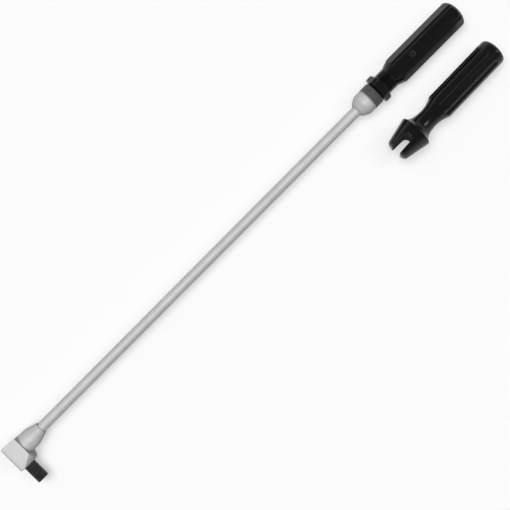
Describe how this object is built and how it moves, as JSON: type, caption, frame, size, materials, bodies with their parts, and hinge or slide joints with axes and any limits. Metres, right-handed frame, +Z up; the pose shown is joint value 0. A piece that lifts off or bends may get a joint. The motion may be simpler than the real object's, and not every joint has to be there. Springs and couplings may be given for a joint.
{
  "type": "angled bit driver",
  "caption": "Right-angle bit driver: bevel-gear head with a hexagon bit socket on a long satin tube, turned by a black moulded handle, with a loose forked steadying handle.",
  "frame": {"origin": "on the surface the tool lies on, under the point where the shaft axis and the bit axis cross", "axes": "+X along the tube from the head to the handle, +Y opposite to the bit socket, +Z up from the surface"},
  "size_m": [0.5995, 0.0846, 0.0338],
  "materials": {
    "satin_chrome": "satin",
    "black_plastic": "semi-gloss",
    "black_steel": "blackened",
    "bright_steel": "ground",
    "bronze": "machined",
    "spring_steel": "oiled",
    "black_nylon": "matte"
  },
  "bodies": {
    "housing": {"head_housing": "satin_chrome", "head_ferrule": "satin_chrome", "outer_tube": "satin_chrome", "rear_collar": "satin_chrome", "knurled_ring": "satin_chrome", "front_bush": "bronze", "rear_bush": "bronze", "output_bush": "bronze", "output_circlip": "spring_steel"},
    "drive": {"handle": "black_plastic", "handle_screw": "black_steel", "handle_washer": "black_nylon", "drive_shaft": "bright_steel", "drive_pinion": "bright_steel", "pinion_pin": "spring_steel", "pinion_washer": "spring_steel"},
    "output": {"bit_socket": "black_steel", "output_gear": "bright_steel", "gear_pin": "spring_steel", "output_washer": "spring_steel", "bit_magnet": "bright_steel", "bit_clip": "spring_steel"},
    "fork": {"fork_handle": "black_plastic"}
  },
  "joints": [
    {"name": "handle_spin", "type": "hinge", "parent": "housing", "child": "drive", "pos_m": [0, 0, 0.0132], "axis": [1, 0, 0], "continuous": true},
    {"name": "output_spin", "type": "hinge", "parent": "housing", "child": "output", "pos_m": [0, 0, 0.0132], "axis": [0, 1, 0], "continuous": true},
    {"name": "fork_lift", "type": "slide", "parent": "housing", "child": "fork", "axis": [0, 0, 1], "range_m": [0, 0.12]}
  ],
  "couplings": [
    {"joint": "output_spin", "follows": "handle_spin", "ratio": 1}
  ]
}
